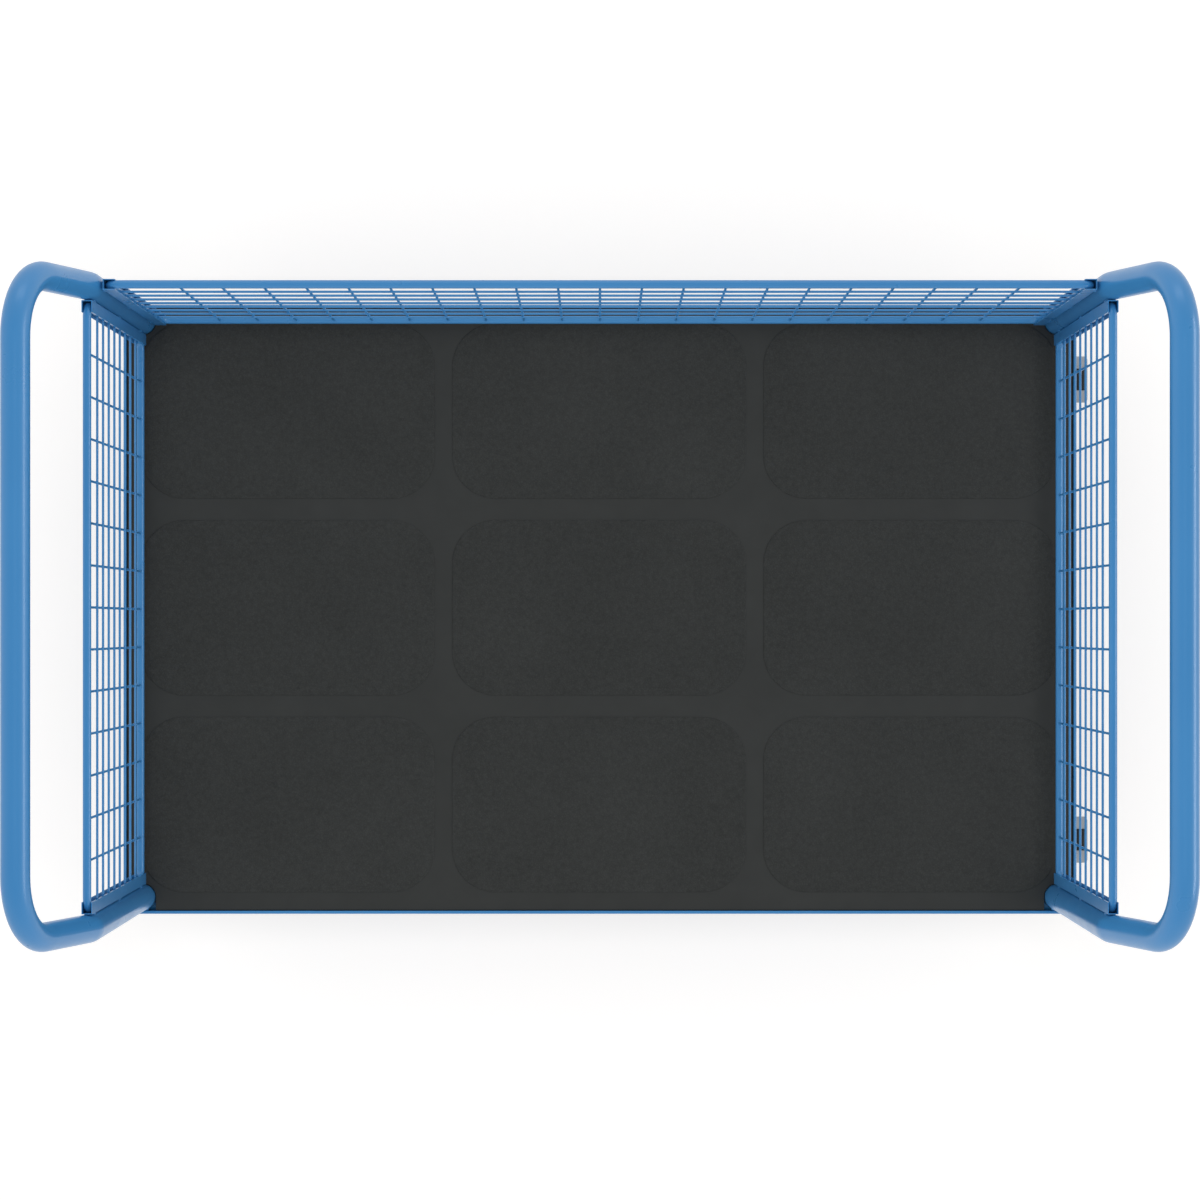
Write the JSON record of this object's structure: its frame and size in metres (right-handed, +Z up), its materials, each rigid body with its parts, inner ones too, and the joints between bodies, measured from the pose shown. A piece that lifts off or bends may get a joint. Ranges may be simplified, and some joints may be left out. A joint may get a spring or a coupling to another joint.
{
  "type": "mesh-sided platform trolley",
  "caption": "Platform trolley with lift-out wire mesh sides, flared tube push handles at both ends, a dark padded deck mat and braked swivel casters.",
  "frame": {"origin": "on the floor, under the middle of the deck", "axes": "+X along the deck towards the braked swivel casters, +Y towards the back mesh panel, +Z up"},
  "size_m": [1.355, 0.804, 0.9258],
  "materials": {
    "blue_powder_coat": "semi-gloss powder coat",
    "deck_mat_rubber": "matt, fine leather-like grain",
    "deck_plywood": "sealed birch plywood",
    "zinc_pressing": "bright zinc plated pressing",
    "zinc_fasteners": "zinc plated",
    "bearing_steel": "ground steel",
    "tyre_rubber": "matt solid rubber",
    "grey_polypropylene": "moulded polypropylene",
    "pedal_rubber": "moulded, matt"
  },
  "bodies": {
    "root": {"back_channels": "blue_powder_coat", "caster_bolts": "zinc_fasteners", "caster_mounting_plates": "blue_powder_coat", "cross_braces": "blue_powder_coat", "deck_board": "deck_plywood", "deck_mat": "deck_mat_rubber", "deck_screws": "zinc_fasteners", "fixed_axle_bolts": "zinc_fasteners", "fixed_axle_nuts": "zinc_fasteners", "hoop_bolts": "zinc_fasteners", "hoop_foot_plugs": "zinc_fasteners", "left_back_fixed_fork": "zinc_pressing", "left_channels": "blue_powder_coat", "left_front_fixed_fork": "zinc_pressing", "left_hoop": "blue_powder_coat", "rail_back": "blue_powder_coat", "rail_front": "blue_powder_coat", "rail_left": "blue_powder_coat", "rail_right": "blue_powder_coat", "right_back_kingpin": "zinc_fasteners", "right_back_top_plate": "zinc_pressing", "right_channels": "blue_powder_coat", "right_front_kingpin": "zinc_fasteners", "right_front_top_plate": "zinc_pressing", "right_hoop": "blue_powder_coat"},
    "left_panel": {"left_border_rod": "blue_powder_coat", "left_upright_wires": "blue_powder_coat", "left_cross_wires": "blue_powder_coat"},
    "right_panel": {"right_border_rod": "blue_powder_coat", "right_upright_wires": "blue_powder_coat", "right_cross_wires": "blue_powder_coat"},
    "back_panel": {"back_border_rod": "blue_powder_coat", "back_upright_wires": "blue_powder_coat", "back_cross_wires": "blue_powder_coat"},
    "right_front_swivel": {"right_front_fork": "zinc_pressing", "right_front_bearing_balls": "bearing_steel", "right_front_axle_bolt": "zinc_fasteners", "right_front_axle_nut": "zinc_fasteners", "right_front_brake_pin": "zinc_fasteners"},
    "right_front_pedal": {"right_front_brake_pedal": "zinc_pressing", "right_front_pedal_pad": "pedal_rubber"},
    "right_back_swivel": {"right_back_fork": "zinc_pressing", "right_back_bearing_balls": "bearing_steel", "right_back_axle_bolt": "zinc_fasteners", "right_back_axle_nut": "zinc_fasteners", "right_back_brake_pin": "zinc_fasteners"},
    "right_back_pedal": {"right_back_brake_pedal": "zinc_pressing", "right_back_pedal_pad": "pedal_rubber"},
    "left_front_wheel": {"left_front_tyre": "tyre_rubber", "left_front_wheel_rim": "grey_polypropylene", "left_front_roller_bearing": "bearing_steel"},
    "left_back_wheel": {"left_back_tyre": "tyre_rubber", "left_back_wheel_rim": "grey_polypropylene", "left_back_roller_bearing": "bearing_steel"},
    "right_front_wheel": {"right_front_tyre": "tyre_rubber", "right_front_wheel_rim": "grey_polypropylene", "right_front_roller_bearing": "bearing_steel"},
    "right_back_wheel": {"right_back_tyre": "tyre_rubber", "right_back_wheel_rim": "grey_polypropylene", "right_back_roller_bearing": "bearing_steel"}
  },
  "joints": [
    {"name": "left_panel_lift", "type": "slide", "parent": "root", "child": "left_panel", "axis": [0, 0, 1], "range_m": [0, 0.52]},
    {"name": "right_panel_lift", "type": "slide", "parent": "root", "child": "right_panel", "axis": [0, 0, 1], "range_m": [0, 0.52]},
    {"name": "back_panel_lift", "type": "slide", "parent": "root", "child": "back_panel", "axis": [0, 0, 1], "range_m": [0, 0.52]},
    {"name": "right_front_swivel_turn", "type": "hinge", "parent": "root", "child": "right_front_swivel", "pos_m": [0.52, -0.309, 0.178], "axis": [0, 0, 1], "continuous": true},
    {"name": "right_front_wheel_spin", "type": "hinge", "parent": "right_front_swivel", "child": "right_front_wheel", "pos_m": [0.565, -0.309, 0.08], "axis": [0, 1, 0], "continuous": true},
    {"name": "right_front_pedal_press", "type": "hinge", "parent": "right_front_swivel", "child": "right_front_pedal", "pos_m": [0.612, -0.309, 0.152], "axis": [0, 1, 0], "range_deg": [0, 12]},
    {"name": "right_back_swivel_turn", "type": "hinge", "parent": "root", "child": "right_back_swivel", "pos_m": [0.52, 0.309, 0.178], "axis": [0, 0, 1], "continuous": true},
    {"name": "right_back_wheel_spin", "type": "hinge", "parent": "right_back_swivel", "child": "right_back_wheel", "pos_m": [0.565, 0.309, 0.08], "axis": [0, 1, 0], "continuous": true},
    {"name": "right_back_pedal_press", "type": "hinge", "parent": "right_back_swivel", "child": "right_back_pedal", "pos_m": [0.612, 0.309, 0.152], "axis": [0, 1, 0], "range_deg": [0, 12]},
    {"name": "left_front_wheel_spin", "type": "hinge", "parent": "root", "child": "left_front_wheel", "pos_m": [-0.52, -0.309, 0.08], "axis": [0, 1, 0], "continuous": true},
    {"name": "left_back_wheel_spin", "type": "hinge", "parent": "root", "child": "left_back_wheel", "pos_m": [-0.52, 0.309, 0.08], "axis": [0, 1, 0], "continuous": true}
  ]
}
